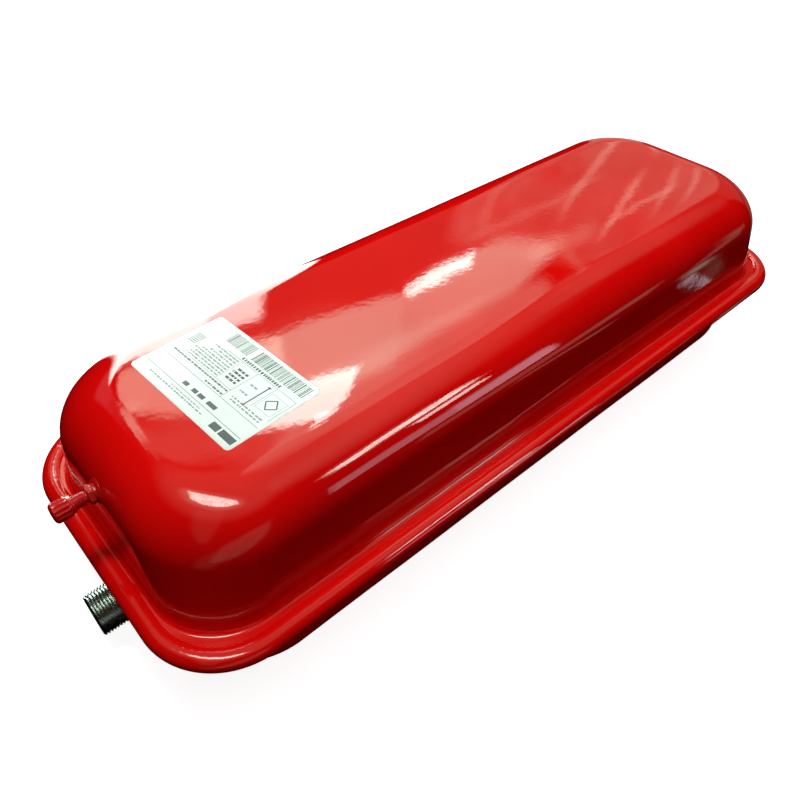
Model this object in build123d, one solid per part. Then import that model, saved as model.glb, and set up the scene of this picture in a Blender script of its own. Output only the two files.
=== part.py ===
from build123d import *
import math
import os

# Flat rectangular diaphragm expansion vessel, nominal capacity 12 litres.
# Millimetres. Origin: centre of the water shell's flat bottom. +Z up, towards the
# gas shell. +X along the vessel; the gas valve and the water nipple are at the -X end.

# ---------------------------------------------------------------- overall sizes
LENGTH = 562.0            # over the rolled rim
WIDTH = 210.0             # over the rolled rim
WATER_DEPTH = 65.0        # bottom face to the rim's mid plane
GAS_HEIGHT = 75.0         # rim's mid plane to the top face
RIM_CORNER_R = 48.0       # plan radius of the rim's outer corner
SHEET = 1.2               # steel sheet of both drawn shells
DRAFT = 3.7               # degrees, wall draft of both shells

# ---------------------------------------------------------------- rolled rim
ROLL_R = 6.35             # outer radius of the roll
ROLL_IN = ROLL_R - SHEET  # inner radius of the roll
ROLL_END_DEG = 135.0      # where the roll's free edge stops, from the outermost point
FLANGE_TOP = 3.6          # top of the gas shell's flange above the rim's mid plane
FLANGE_OUT = 3.3          # how far that flange reaches past the roll's centre line
FOOT_FILLET = 2.4         # wall to flange, outer side

# ---------------------------------------------------------------- shells
WALL_L = 535.6            # wall length and width, outer face, at the rim's mid plane
WALL_W = 178.6
GAS_FOOT_CORNER_R = 39.0  # the gas shell's corners open out upwards: radius at the rim's mid plane,
GAS_TOP_CORNER_R = 60.0   # and at the top, before the shoulder is rounded
GAS_SHOULDER_R = 31.8
WATER_CORNER_R = 58.7
WATER_SHOULDER_R = 23.2

# ---------------------------------------------------------------- diaphragm
RUBBER = 2.5
RUBBER_GAP = 0.3          # between the diaphragm and the water shell it lies in
BEAD_IN = -6.0            # bead's inner and outer edge, from the roll's centre line
BEAD_OUT = 3.4
BEAD_LOW = -5.1           # bead's bottom and top, from the rim's mid plane
BEAD_TOP = 2.35
BEAD_CORNER_R = 3.0
PANEL_L = 476.0           # flat middle of the diaphragm
PANEL_W = 120.0
PANEL_CORNER_R = 30.0

# ---------------------------------------------------------------- water nipple, G 3/4
NIPPLE_Z = 24.0
NIPPLE_END_X = -292.0
THREAD_R = 13.22          # G 3/4 major radius
THREAD_ROOT_R = 12.06
THREAD_PITCH = 1.814
THREAD_TURNS = 11
NIPPLE_SHANK_R = 12.0
NIPPLE_BORE_R = 9.5
NIPPLE_RELIEF_R = 10.3     # the bore opens out where the nipple passes through the wall
NIPPLE_WELD_T = 2.4       # weld's height on the wall and width round the nipple
NIPPLE_WELD_W = 3.0

# ---------------------------------------------------------------- gas valve
VALVE_Z = 113.5
BUSH_R = 5.4
BUSH_HOLE_R = 4.05
BUSH_OUT_X = -265.7
BUSH_IN_X = -259.4
BUSH_WELD_T = 1.0
GASKET_T = 0.5
GASKET_R = 5.0
HEX_AF = 10.0
HEX_T = 2.8
STEM_R = 3.85             # 8V1 valve thread, 7.7 mm
STEM_ROOT_R = 3.4
STEM_PITCH = 0.794
STEM_TIP_X = -284.2
SPIGOT_R = 4.0
CORE_BORE_R = 2.65        # at the mouth
CORE_SEAT_R = 2.33        # behind the core's seal
PIN_R = 0.5
PIN_STROKE = 1.2
CAP_R = 5.65
CAP_COLLAR_R = 4.5
CAP_LEN = 11.0
CAP_INNER_X = -276.0
CAP_BORE_R = 3.95
CAP_RIBS = 14

# ---------------------------------------------------------------- rating label
LABEL_L = 60.0
LABEL_W = 90.0
LABEL_T = 0.15
LABEL_X = -183.6
LABEL_Y = 4.2
LABEL_TURN = 3.6          # degrees, stuck on slightly askew

RIM_Z = WATER_DEPTH
TOP_Z = WATER_DEPTH + GAS_HEIGHT
ROLL_L = LENGTH - 2 * ROLL_R          # the roll's centre line in plan
ROLL_W = WIDTH - 2 * ROLL_R
ROLL_CORNER_R = RIM_CORNER_R - ROLL_R

os.makedirs("parts", exist_ok=True)


def block(length, width, corner, height, shoulder):
    """Drawn form standing on z=0: drafted walls, its far edge rounded."""
    b = extrude(RectangleRounded(length, width, corner), amount=height, taper=DRAFT)
    top = b.faces().sort_by(Axis.Z)[-1]
    return fillet(top.edges(), shoulder)


def opening_block(length, width, foot_corner, top_corner, height, shoulder):
    """As block, but with a corner radius that changes evenly from the foot to the top."""
    shrink = 2 * height * math.tan(math.radians(DRAFT))
    low = RectangleRounded(length, width, foot_corner).faces()[0]
    high = (Pos(0, 0, height) * RectangleRounded(length - shrink, width - shrink, top_corner)).faces()[0]
    b = loft([low, high], ruled=True)
    top = b.faces().sort_by(Axis.Z)[-1]
    return fillet(top.edges(), shoulder)


def plate(length, width, corner, z0, z1):
    return Pos(0, 0, z0) * extrude(RectangleRounded(length, width, corner), amount=z1 - z0)


def at_line(off):
    """Plan rectangle at a distance outside the roll's centre line."""
    return ROLL_L + 2 * off, ROLL_W + 2 * off, ROLL_CORNER_R + off


def ring_along_rim(section):
    """A closed ring with the given (n, z) section, carried round the roll's centre line."""
    hx, hy, r = ROLL_L / 2, ROLL_W / 2, ROLL_CORNER_R
    cx, cy = hx - r, hy - r
    parts = []
    for ang, ox, oy, run in ((90, -cx, hy, 2 * cx), (270, cx, -hy, 2 * cx),
                             (0, hx, cy, 2 * cy), (180, -hx, -cy, 2 * cy)):
        n = Vector(1, 0, 0).rotate(Axis.Z, ang)
        pl = Plane(origin=(ox, oy, RIM_Z), x_dir=n, z_dir=n.cross(Vector(0, 0, 1)))
        parts.append(extrude(pl * section, amount=run))
    for ang, sx, sy in ((0, 1, 1), (90, -1, 1), (180, -1, -1), (270, 1, -1)):
        n = Vector(1, 0, 0).rotate(Axis.Z, ang)
        o = Vector(sx * cx, sy * cy, RIM_Z) + n * r
        pl = Plane(origin=o, x_dir=n, z_dir=n.cross(Vector(0, 0, 1)))
        parts.append(revolve(pl * section, Axis((sx * cx, sy * cy, 0), (0, 0, 1)), 90))
    ring = parts[0]
    for p in parts[1:]:
        ring = ring + p
    return ring


def turned(points, zc):
    """Solid of revolution about the X axis at height zc, from (x, r) points."""
    line = Polyline(*[(x, 0, zc + r) for x, r in points], close=True)
    return revolve(make_face(line), Axis((0, 0, zc), (1, 0, 0)), 360)


def rod(x0, x1, r, zc):
    a, b = min(x0, x1), max(x0, x1)
    return turned([(a, 0), (b, 0), (b, r), (a, r)], zc)


def tube(x0, x1, ro, ri, zc):
    a, b = min(x0, x1), max(x0, x1)
    return turned([(a, ri), (b, ri), (b, ro), (a, ro)], zc)


def one(shape):
    """The single solid of a shape; the largest if a boolean left crumbs."""
    return sorted(shape.solids(), key=lambda s: s.volume)[-1]


def foot(shape, z, radius):
    """Rounds the loop where a wall meets its flange at height z, if it can."""
    loop = []
    for e in shape.edges():
        bb = e.bounding_box()
        level = abs(bb.min.Z - z) < 0.02 and abs(bb.max.Z - z) < 0.02
        reach_x = max(abs(bb.min.X), abs(bb.max.X))
        reach_y = max(abs(bb.min.Y), abs(bb.max.Y))
        if level and reach_x < WALL_L / 2 + 0.5 and reach_y < WALL_W / 2 + 0.5:
            loop.append(e)
    try:
        out = fillet(loop, radius)
        if out.is_valid and abs(out.volume - shape.volume) < 0.05 * shape.volume:
            return out
    except Exception:
        pass
    print("foot at", z, "left square")
    return shape


# ================================================================ gas shell (upper)
flange_low = FLANGE_TOP - SHEET
gas_outer = Pos(0, 0, RIM_Z) * opening_block(WALL_L, WALL_W, GAS_FOOT_CORNER_R, GAS_TOP_CORNER_R,
                                             GAS_HEIGHT, GAS_SHOULDER_R)
gas_inner = Pos(0, 0, RIM_Z) * opening_block(WALL_L - 2 * SHEET, WALL_W - 2 * SHEET, GAS_FOOT_CORNER_R - SHEET,
                                             GAS_TOP_CORNER_R - SHEET, GAS_HEIGHT - SHEET, GAS_SHOULDER_R - SHEET)
below = Pos(0, 0, RIM_Z - 50 + flange_low) * Box(700, 400, 100)
gas_shell = (gas_outer - below) + plate(*at_line(FLANGE_OUT), RIM_Z + flange_low, RIM_Z + FLANGE_TOP)
gas_shell = one(gas_shell - gas_inner)
gas_shell = foot(gas_shell, RIM_Z + FLANGE_TOP, FOOT_FILLET)
gas_shell = foot(gas_shell, RIM_Z + flange_low, FOOT_FILLET + SHEET)
gas_shell = one(gas_shell - rod(-300, -240, BUSH_R + 0.03, VALVE_Z))

# ================================================================ water shell (lower), with the roll
water_outer = Pos(0, 0, RIM_Z) * mirror(
    block(WALL_L, WALL_W, WATER_CORNER_R, WATER_DEPTH, WATER_SHOULDER_R), Plane.XY)
water_inner = Pos(0, 0, RIM_Z) * mirror(
    block(WALL_L - 2 * SHEET, WALL_W - 2 * SHEET, WATER_CORNER_R - SHEET,
          WATER_DEPTH - SHEET, WATER_SHOULDER_R - SHEET), Plane.XY)
above = Pos(0, 0, RIM_Z + 50 - ROLL_IN) * Box(700, 400, 100)
water_shell = (water_outer - above) + plate(*at_line(0), RIM_Z - ROLL_R, RIM_Z - ROLL_IN)
water_shell = one(water_shell - water_inner)
water_shell = foot(water_shell, RIM_Z - ROLL_R, FOOT_FILLET)
water_shell = foot(water_shell, RIM_Z - ROLL_IN, FOOT_FILLET + SHEET)


def polar(r, deg):
    v = Vector(r, 0, 0).rotate(Axis.Z, deg)
    return (v.X, v.Y)


roll_section = make_face([
    ThreePointArc((0, -ROLL_R), polar(ROLL_R, (ROLL_END_DEG - 90) / 2), polar(ROLL_R, ROLL_END_DEG)),
    Line(polar(ROLL_R, ROLL_END_DEG), polar(ROLL_IN, ROLL_END_DEG)),
    ThreePointArc(polar(ROLL_IN, ROLL_END_DEG), polar(ROLL_IN, (ROLL_END_DEG - 90) / 2), (0, -ROLL_IN)),
    Line((0, -ROLL_IN), (0, -ROLL_R)),
])
water_shell = one(water_shell + ring_along_rim(roll_section))
water_shell = one(water_shell - rod(-320, -240, NIPPLE_SHANK_R + 0.03, NIPPLE_Z))

# ================================================================ diaphragm
bw, bh = BEAD_OUT - BEAD_IN, BEAD_TOP - BEAD_LOW
bead_section = Pos((BEAD_OUT + BEAD_IN) / 2, (BEAD_TOP + BEAD_LOW) / 2) * RectangleRounded(bw, bh, BEAD_CORNER_R)
diaphragm_bead = one(ring_along_rim(bead_section))

rub = SHEET + RUBBER_GAP
tub_outer = Pos(0, 0, RIM_Z) * mirror(
    block(WALL_L - 2 * rub, WALL_W - 2 * rub, WATER_CORNER_R - rub, WATER_DEPTH - rub,
          WATER_SHOULDER_R - rub), Plane.XY)
rub2 = rub + RUBBER
tub_inner = Pos(0, 0, RIM_Z) * mirror(
    block(WALL_L - 2 * rub2, WALL_W - 2 * rub2, WATER_CORNER_R - rub2, WATER_DEPTH - rub2,
          WATER_SHOULDER_R - rub2), Plane.XY)
collar_top = BEAD_LOW + RUBBER
cut_top = Pos(0, 0, RIM_Z + 50 + collar_top) * Box(700, 400, 100)
collar = plate(*at_line(BEAD_IN - 0.02), RIM_Z + BEAD_LOW, RIM_Z + collar_top)
panel_hole = plate(PANEL_L + 0.1, PANEL_W + 0.1, PANEL_CORNER_R + 0.05, -1, 10)
diaphragm_skirt = one((tub_outer - cut_top) + collar - tub_inner - panel_hole)
# The foot of the water shell's flange is rounded, so the collar keeps clear of it.
diaphragm_panel = plate(PANEL_L, PANEL_W, PANEL_CORNER_R, rub, rub2)

# ================================================================ water nipple
crest = 0.36
pts = [(NIPPLE_END_X, NIPPLE_BORE_R + 0.6), (NIPPLE_END_X, THREAD_R - 1.25)]
x = NIPPLE_END_X + 1.3
pts.append((x, THREAD_R))
for i in range(THREAD_TURNS):
    flank = (THREAD_PITCH - crest - 0.25) / 2
    pts += [(x + crest, THREAD_R), (x + crest + flank, THREAD_ROOT_R),
            (x + crest + flank + 0.25, THREAD_ROOT_R), (x + THREAD_PITCH, THREAD_R)]
    x += THREAD_PITCH
thread_end_x = x + crest
pts += [(thread_end_x, THREAD_R), (thread_end_x + 1.2, NIPPLE_SHANK_R), (-255, NIPPLE_SHANK_R),
        (-255, NIPPLE_RELIEF_R), (-266.6, NIPPLE_RELIEF_R), (-267.4, NIPPLE_BORE_R),
        (NIPPLE_END_X + 0.6, NIPPLE_BORE_R)]
water_nipple = one(turned(pts, NIPPLE_Z) - water_inner)

# Fillet weld: a collar that follows the shell's drafted wall and its shoulder.
weld_skin = Pos(0, 0, RIM_Z) * mirror(
    block(WALL_L + 2 * NIPPLE_WELD_T, WALL_W + 2 * NIPPLE_WELD_T, WATER_CORNER_R + NIPPLE_WELD_T,
          WATER_DEPTH, WATER_SHOULDER_R + NIPPLE_WELD_T), Plane.XY)
weld_ring = turned([(-300, NIPPLE_SHANK_R + 0.02), (-300, NIPPLE_SHANK_R + 0.6), (-267.6, NIPPLE_SHANK_R + 0.6),
                    (-264.6, NIPPLE_SHANK_R + NIPPLE_WELD_W), (-250, NIPPLE_SHANK_R + NIPPLE_WELD_W),
                    (-250, NIPPLE_SHANK_R + 0.02)], NIPPLE_Z)
nipple_weld = one((weld_ring & weld_skin) - water_outer)

# ================================================================ gas valve
valve_bush = one(tube(BUSH_OUT_X, BUSH_IN_X, BUSH_R, BUSH_HOLE_R, VALVE_Z))
weld_skin = Pos(0, 0, RIM_Z) * block(WALL_L + 2 * BUSH_WELD_T, WALL_W + 2 * BUSH_WELD_T, GAS_TOP_CORNER_R + BUSH_WELD_T,
                                     GAS_HEIGHT + BUSH_WELD_T, GAS_SHOULDER_R + BUSH_WELD_T)
bush_weld = one((tube(BUSH_OUT_X + 0.1, -250, BUSH_R + 1.5, BUSH_R + 0.02, VALVE_Z) & weld_skin) - gas_outer)

hex_in_x = BUSH_OUT_X - GASKET_T
hex_out_x = hex_in_x - HEX_T
valve_gasket = one(tube(BUSH_OUT_X, hex_in_x, GASKET_R, SPIGOT_R + 0.05, VALVE_Z))

hexagon = Plane(origin=(hex_out_x, 0, VALVE_Z), x_dir=(0, 1, 0), z_dir=(1, 0, 0)) * RegularPolygon(
    HEX_AF / 2, 6, major_radius=False)
hex_body = extrude(hexagon, amount=HEX_T) & turned(
    [(hex_out_x, 0), (hex_in_x, 0), (hex_in_x, 5.9), (hex_out_x + 0.6, 5.9), (hex_out_x, 5.1)], VALVE_Z)
stem_pts = [(hex_out_x + 0.5, 0), (hex_out_x + 0.5, STEM_ROOT_R - 0.05), (hex_out_x - 1.0, STEM_ROOT_R - 0.05)]
x = hex_out_x - 1.0
stem_turns = 16
for i in range(stem_turns):
    stem_pts += [(x - 0.28, STEM_R), (x - 0.44, STEM_R), (x - STEM_PITCH + 0.07, STEM_ROOT_R), (x - STEM_PITCH, STEM_ROOT_R)]
    x -= STEM_PITCH
stem_pts += [(x - 0.2, STEM_ROOT_R + 0.15), (STEM_TIP_X, STEM_ROOT_R - 0.1), (STEM_TIP_X, 0)]
stem = turned(stem_pts, VALVE_Z)
spigot = rod(hex_in_x - 0.5, -257.0, SPIGOT_R, VALVE_Z)
core_bore = turned([(STEM_TIP_X - 1, 0), (STEM_TIP_X - 1, CORE_BORE_R + 0.25), (STEM_TIP_X, CORE_BORE_R + 0.25),
                    (STEM_TIP_X + 0.3, CORE_BORE_R), (-278.6, CORE_BORE_R), (-277.9, CORE_SEAT_R),
                    (-268.0, CORE_SEAT_R), (-267.4, 1.5), (-250, 1.5), (-250, 0)], VALVE_Z)
valve_body = one(hex_body + stem + spigot - core_bore)

# ---- valve core
plug_x0, plug_x1 = -283.5, -279.6
core_plug = rod(plug_x0 + 1.9, plug_x1, CORE_BORE_R - 0.05, VALVE_Z)
tang = Pos(plug_x0 + 1.2, 0, VALVE_Z) * Box(2.4, 4.4, 2.3)
core_plug = one(core_plug + (tang & rod(plug_x0, plug_x0 + 2.4, 2.2, VALVE_Z))
                - rod(plug_x0 - 1, plug_x1 + 1, 0.85, VALVE_Z))

barrel_x0, barrel_x1 = -279.55, -271.6
core_barrel = one(turned([(barrel_x0, 1.3), (barrel_x0, 1.8), (barrel_x1 + -0.6, 1.8), (barrel_x1, 1.45),
                          (barrel_x1, 0.62), (-273.0, 0.62), (-273.0, 1.3)], VALVE_Z))
core_barrel_seal = one(turned([(-277.6, 1.82), (-277.6, 2.1), (-277.0, 2.31), (-275.2, 2.31), (-274.8, 2.05),
                               (-274.8, 1.82)], VALVE_Z))
collar_x = -279.2
core_pin = one(turned([(-283.9, 0), (-283.9, PIN_R - 0.1), (-283.8, PIN_R), (collar_x, PIN_R), (collar_x, 1.15),
                       (collar_x + 0.4, 1.15), (collar_x + 0.4, PIN_R), (-270.3, PIN_R), (-270.3, 0.95),
                       (-270.0, 0.95), (-269.8, 0.6), (-269.8, 0)], VALVE_Z))
core_washer = one(tube(-271.57, -270.85, 1.4, PIN_R + 0.02, VALVE_Z))
core_cup = one(turned([(-271.35, 1.43), (-271.35, 1.7), (-270.32, 1.7), (-270.32, PIN_R + 0.02),
                       (-270.83, PIN_R + 0.02), (-270.83, 1.43)], VALVE_Z))

# ---- core spring, closed coils of round wire between the pin's collar and the barrel's shoulder
wire_r = 0.11
spring_x0, spring_x1 = collar_x + 0.4 + wire_r + 0.03, -273.0 - wire_r - 0.03
coil_r = 0.9
helix = Helix(pitch=(spring_x1 - spring_x0) / 7.0, height=spring_x1 - spring_x0, radius=coil_r,
              center=(spring_x0, 0, VALVE_Z), direction=(1, 0, 0))
wire = Plane(origin=helix @ 0, z_dir=helix % 0) * Circle(wire_r)
core_spring = one(sweep(wire, path=helix))

# ---- cap, with its lengthwise ribs and the soft disc inside it
cap_out_x = CAP_INNER_X - CAP_LEN
cap = turned([(CAP_INNER_X, CAP_BORE_R + 0.25), (CAP_INNER_X, CAP_COLLAR_R), (CAP_INNER_X - 1.5, CAP_COLLAR_R + 0.25),
              (CAP_INNER_X - 2.0, CAP_R - 0.25), (CAP_INNER_X - 2.4, CAP_R), (cap_out_x + 1.1, CAP_R),
              (cap_out_x + 0.35, CAP_R - 0.45), (cap_out_x, CAP_R - 1.3), (cap_out_x, 0),
              (STEM_TIP_X - 1.1, 0), (STEM_TIP_X - 1.1, CAP_BORE_R), (CAP_INNER_X - 0.3, CAP_BORE_R)], VALVE_Z)
groove_r = 0.42
grooves = []
for i in range(CAP_RIBS):
    a = 360.0 / CAP_RIBS * (i + 0.5)
    v = Vector(0, CAP_R + 0.08, 0).rotate(Axis.X, a)
    g = Plane(origin=(CAP_INNER_X - 2.3, v.Y, VALVE_Z + v.Z), z_dir=(-1, 0, 0)) * Circle(groove_r)
    grooves.append(extrude(g, amount=CAP_LEN))
for g in grooves:
    cap = cap - g
valve_cap = one(cap)
cap_seal = one(rod(STEM_TIP_X - 0.05, STEM_TIP_X - 1.05, 3.5, VALVE_Z))

# ================================================================ rating label
rating_label = Pos(LABEL_X, LABEL_Y, TOP_Z) * Rot(0, 0, LABEL_TURN) * extrude(
    RectangleRounded(LABEL_L, LABEL_W, 2.0), amount=LABEL_T)

nodes = {
    "gas_shell": gas_shell,
    "water_shell": water_shell,
    "diaphragm_bead": diaphragm_bead,
    "diaphragm_skirt": diaphragm_skirt,
    "diaphragm_panel": diaphragm_panel,
    "water_nipple": water_nipple,
    "nipple_weld": nipple_weld,
    "valve_bush": valve_bush,
    "bush_weld": bush_weld,
    "valve_gasket": valve_gasket,
    "valve_body": valve_body,
    "valve_cap": valve_cap,
    "cap_seal": cap_seal,
    "core_plug": core_plug,
    "core_barrel": core_barrel,
    "core_barrel_seal": core_barrel_seal,
    "core_pin": core_pin,
    "core_washer": core_washer,
    "core_cup": core_cup,
    "core_spring": core_spring,
    "rating_label": rating_label,
}
for name, shape in nodes.items():
    export_step(shape, f"parts/{name}.step")
    bb = shape.bounding_box()
    print(f"{name:18s} solids {len(shape.solids())} volume {shape.volume:10.1f}  "
          f"x {bb.min.X:8.2f} {bb.max.X:8.2f}  y {bb.min.Y:8.2f} {bb.max.Y:8.2f}  z {bb.min.Z:7.2f} {bb.max.Z:7.2f}")
print("thread ends at x", round(thread_end_x, 3))
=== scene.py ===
import math
import bpy
import bmesh
import numpy as np
from mathutils import Matrix, Vector


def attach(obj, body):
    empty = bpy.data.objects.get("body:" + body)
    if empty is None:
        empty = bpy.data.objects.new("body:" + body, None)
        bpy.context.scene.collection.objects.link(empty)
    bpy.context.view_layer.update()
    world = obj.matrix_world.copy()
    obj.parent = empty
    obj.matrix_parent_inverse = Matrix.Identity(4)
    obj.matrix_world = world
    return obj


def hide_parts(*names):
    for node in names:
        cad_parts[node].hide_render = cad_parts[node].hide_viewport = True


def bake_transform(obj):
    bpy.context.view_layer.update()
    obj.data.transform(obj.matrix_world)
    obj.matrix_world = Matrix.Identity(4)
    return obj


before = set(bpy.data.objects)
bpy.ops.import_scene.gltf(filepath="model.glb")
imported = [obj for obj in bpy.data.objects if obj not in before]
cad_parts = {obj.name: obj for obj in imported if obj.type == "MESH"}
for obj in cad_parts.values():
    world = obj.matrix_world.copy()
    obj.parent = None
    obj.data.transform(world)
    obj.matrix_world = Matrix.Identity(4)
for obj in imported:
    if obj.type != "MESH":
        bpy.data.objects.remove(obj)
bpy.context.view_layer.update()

MM = 0.001

# ---------------------------------------------------------------- sizes, mm, as in the CAD model
DELTA = math.radians(3.7)
SN, CS, TN = math.sin(DELTA), math.cos(DELTA), math.tan(DELTA)
RIM_Z, TOP_Z = 65.0, 140.0
SHEET = 1.2
GAS = (267.8, 89.3)
GAS_R_FOOT, GAS_R_TOP = 39.0, 60.0
WATER = (267.8, 89.3, 58.7)
RIM = (274.65, 98.65, 41.65)
GAS_SH, WATER_SH = 31.8, 23.2
ROLL_R, ROLL_IN = 6.34, 5.15
FLANGE_TOP = 68.6
NIPPLE_Z, VALVE_Z = 24.0, 113.5
LABEL_X, LABEL_Y, LABEL_TURN = -183.6, 4.2, math.radians(3.6)
LABEL_L, LABEL_W = 60.0, 90.0

# shoulder arc centres, (inward from the wall's foot line, z)
GAS_ZC = TOP_Z - GAS_SH
GAS_DC = (GAS_SH + (GAS_ZC - RIM_Z) * SN) / CS
WATER_ZC = WATER_SH
WATER_DC = (WATER_SH + (RIM_Z - WATER_ZC) * SN) / CS


# ---------------------------------------------------------------- small helpers
def smooth(a, b, v):
    t = np.clip((np.asarray(v, float) - a) / (b - a), 0, 1)
    return t * t * (3 - 2 * t)


def waves(seed, count, long_mm, short_mm):
    """A gentle seeded field of x, y, z in mm, about -1 to 1."""
    rng = np.random.RandomState(seed)
    d = rng.normal(size=(count, 3))
    d /= np.linalg.norm(d, axis=1)[:, None]
    k = 2 * math.pi / np.exp(rng.uniform(math.log(short_mm), math.log(long_mm), count))
    ph = rng.uniform(0, 2 * math.pi, count)

    def f(x, y, z):
        out = 0
        for i in range(count):
            out = out + np.sin(k[i] * (d[i, 0] * x + d[i, 1] * y + d[i, 2] * z) + ph[i])
        return out / math.sqrt(count) * 0.8
    return f


class Loop:
    """Samples round a rounded rectangle, shared by every ring of one pressing."""

    def __init__(self, nc, nl, ns):
        rows = []
        for sx, sy, a0, run in ((1, -1, 0, "s"), (1, 1, 0, "c"), (1, 1, 90, "l"), (-1, 1, 90, "c"),
                                (-1, 1, 180, "s"), (-1, -1, 180, "c"), (-1, -1, 270, "l"), (1, -1, 270, "c")):
            if run == "s":
                n = (math.cos(math.radians(a0)), 0.0)
                for i in range(ns):
                    y = -1 + 2 * i / ns
                    rows.append((sx, y if sx > 0 else -y, n[0], 0.0, 0.0))
            elif run == "l":
                for i in range(nl):
                    x = 1 - 2 * i / nl
                    rows.append((x if sy > 0 else -x, sy, 0.0, float(sy), 0.0))
            else:
                for i in range(nc):
                    a = math.radians(a0 + 90.0 * i / nc)
                    rows.append((sx, sy, math.cos(a), math.sin(a), 90.0 * i / nc))
        self.t = np.array(rows)
        self.n = len(rows)
        self.corner = smooth(0, 1, np.abs(2 * self.t[:, 2] * self.t[:, 3]))
        self.phi = self.t[:, 4]
        # slow wobble that closes round the loop
        self.u = np.arange(self.n) / self.n * 2 * math.pi

    def at(self, base, off):
        """Plan points at a distance inside the base outline."""
        a, b, r = base
        x = self.t[:, 0] * (a - r) + (r - off) * self.t[:, 2]
        y = self.t[:, 1] * (b - r) + (r - off) * self.t[:, 3]
        return x, y


def build(name, verts, faces, material, body, sharp=None, merge=True):
    """A mesh from points in mm, riding on a CAD body."""
    me = bpy.data.meshes.new(name)
    me.from_pydata((np.asarray(verts, float) * MM).tolist(), [], [tuple(int(i) for i in f) for f in faces])
    bm = bmesh.new()
    bm.from_mesh(me)
    if merge:
        bmesh.ops.remove_doubles(bm, verts=bm.verts, dist=2e-7)
        bmesh.ops.dissolve_degenerate(bm, dist=1e-8, edges=bm.edges)
    bmesh.ops.recalc_face_normals(bm, faces=bm.faces)
    bm.to_mesh(me)
    bm.free()
    me.shade_smooth()
    if sharp:
        me.set_sharp_from_angle(angle=math.radians(sharp))
    ob = bpy.data.objects.new(name, me)
    bpy.context.scene.collection.objects.link(ob)
    if material:
        me.materials.append(material)
    if body:
        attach(ob, body)
    return ob


def grid(rings, closed):
    """Vertices and quads of rings of equal length, each ring closed on itself."""
    k, n = len(rings), max(np.size(c) for r in rings for c in r)
    verts = np.concatenate([np.stack([np.broadcast_to(c, (n,)) for c in r], 1) for r in rings])
    rows = np.arange(k if closed else k - 1)[:, None]
    j = np.arange(n)[None, :]
    a = rows * n + j
    b = rows * n + (j + 1) % n
    c = ((rows + 1) % k) * n + (j + 1) % n
    d = ((rows + 1) % k) * n + j
    return verts, np.stack([a, b, c, d], -1).reshape(-1, 4)


def cut(ob, x0, x1, r, zc, seg=96):
    """Drills a round hole along X through a mesh."""
    th = np.arange(seg) / seg * 2 * math.pi
    rings = [(x0, 0 * th, zc + 0 * th), (x0, r * np.cos(th), zc + r * np.sin(th)),
             (x1, r * np.cos(th), zc + r * np.sin(th)), (x1, 0 * th, zc + 0 * th)]
    v, f = grid(rings, False)
    tool = build("drill", v, f, None, None)
    m = ob.modifiers.new("hole", "BOOLEAN")
    m.operation, m.solver, m.object = "DIFFERENCE", "EXACT", tool
    dg = bpy.context.evaluated_depsgraph_get()
    done = bpy.data.meshes.new_from_object(ob.evaluated_get(dg))
    ob.modifiers.clear()
    old = ob.data
    ob.data = done
    done.name = old.name
    bpy.data.meshes.remove(old)
    bpy.data.objects.remove(tool)
    return ob


def polar(rows, zc, n, closed=True, phase=0.0):
    """Rows of (x, r) about the X axis at height zc. Either may be an array over the angle."""
    th = np.arange(n) / n * 2 * math.pi + phase
    return grid([(x + 0 * th, r * np.cos(th), zc + r * np.sin(th)) for x, r in rows], closed)


def angles(n, phase=0.0):
    return np.arange(n) / n * 2 * math.pi + phase


# ================================================================ materials
def new_material(name):
    m = bpy.data.materials.new(name)
    m.use_nodes = True
    nt = m.node_tree
    b = nt.nodes["Principled BSDF"]
    co = nt.nodes.new("ShaderNodeTexCoord")
    return m, nt, b, co.outputs["Object"]


def noise(nt, co, scale, detail=2.0, rough=0.5, stretch=None):
    n = nt.nodes.new("ShaderNodeTexNoise")
    n.inputs["Scale"].default_value = scale
    n.inputs["Detail"].default_value = detail
    n.inputs["Roughness"].default_value = rough
    if stretch:
        mp = nt.nodes.new("ShaderNodeMapping")
        mp.inputs["Scale"].default_value = stretch
        nt.links.new(co, mp.inputs["Vector"])
        co = mp.outputs["Vector"]
    nt.links.new(co, n.inputs["Vector"])
    return n.outputs["Fac"]


def ramp(nt, fac, stops):
    r = nt.nodes.new("ShaderNodeValToRGB")
    el = r.color_ramp.elements
    while len(el) < len(stops):
        el.new(0.5)
    for e, (p, c) in zip(el, stops):
        e.position = p
        e.color = (*c, 1) if len(c) == 3 else c
    nt.links.new(fac, r.inputs["Fac"])
    return r.outputs["Color"]


def level(nt, fac, low, high):
    m = nt.nodes.new("ShaderNodeMapRange")
    m.inputs["From Min"].default_value = 0.3
    m.inputs["From Max"].default_value = 0.7
    m.inputs["To Min"].default_value = low
    m.inputs["To Max"].default_value = high
    nt.links.new(fac, m.inputs["Value"])
    return m.outputs["Result"]


def bumps(nt, layers):
    """Stacked bump nodes from (height, strength, distance in m)."""
    last = None
    for h, s, d in layers:
        b = nt.nodes.new("ShaderNodeBump")
        b.inputs["Strength"].default_value = s
        b.inputs["Distance"].default_value = d
        nt.links.new(h, b.inputs["Height"])
        if last:
            nt.links.new(last, b.inputs["Normal"])
        last = b.outputs["Normal"]
    return last


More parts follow.
